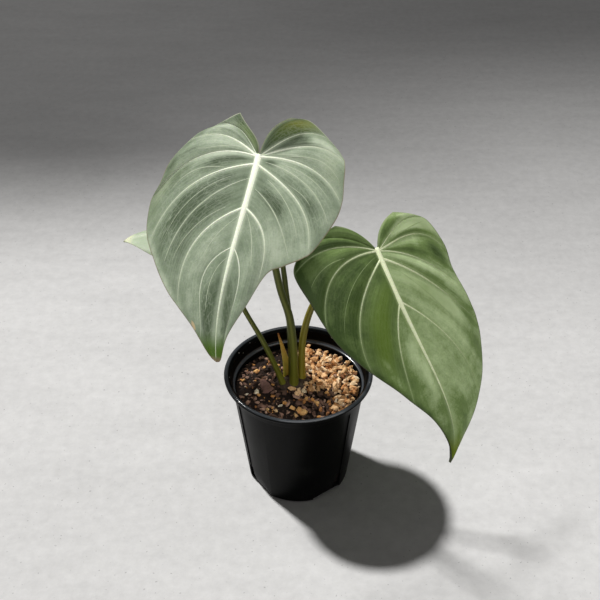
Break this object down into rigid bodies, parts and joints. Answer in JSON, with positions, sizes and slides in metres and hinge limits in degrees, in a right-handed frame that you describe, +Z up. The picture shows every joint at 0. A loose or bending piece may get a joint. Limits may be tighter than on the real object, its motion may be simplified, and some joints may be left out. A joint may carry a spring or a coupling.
{
  "type": "potted philodendron gloriosum",
  "caption": "Potted aroid house plant with velvety heart-shaped leaves, pale raised veins and slim stalks rising from a creeping stem in a ribbed round plastic nursery pot filled with dark mix",
  "frame": {"origin": "Middle of the pot's base, on the surface the pot stands on.", "axes": "+Z points up along the pot's axis. -Y is the plant's front, the side the big pale leaf hangs over. +X is to the right seen from the front, the side of the deep green leaf."},
  "size_m": [0.2492, 0.1444, 0.2865],
  "materials": {
    "pot": "gloss",
    "potting_mix": "matte",
    "pumice": "matte",
    "bark": "matte",
    "rhizome": "matte",
    "dry_scale": "matte",
    "stalk": "satin",
    "stalk_young": "satin",
    "rolled_leaf": "satin",
    "blade_pale": "satin",
    "blade_deep": "satin",
    "veins": "satin"
  },
  "bodies": {
    "root": {"pot": "pot", "potting_mix": "potting_mix", "pumice": "pumice", "bark_flake": "bark", "rhizome": "rhizome", "dry_scale": "dry_scale", "stalk_front": "stalk", "stalk_right": "stalk_young", "stalk_back": "stalk", "stalk_young": "stalk", "rolled_leaf": "rolled_leaf", "blade_front": "blade_pale", "veins_front": "veins", "blade_right": "blade_deep", "veins_right": "veins", "blade_back": "blade_deep", "veins_back": "veins"}
  },
  "joints": []
}
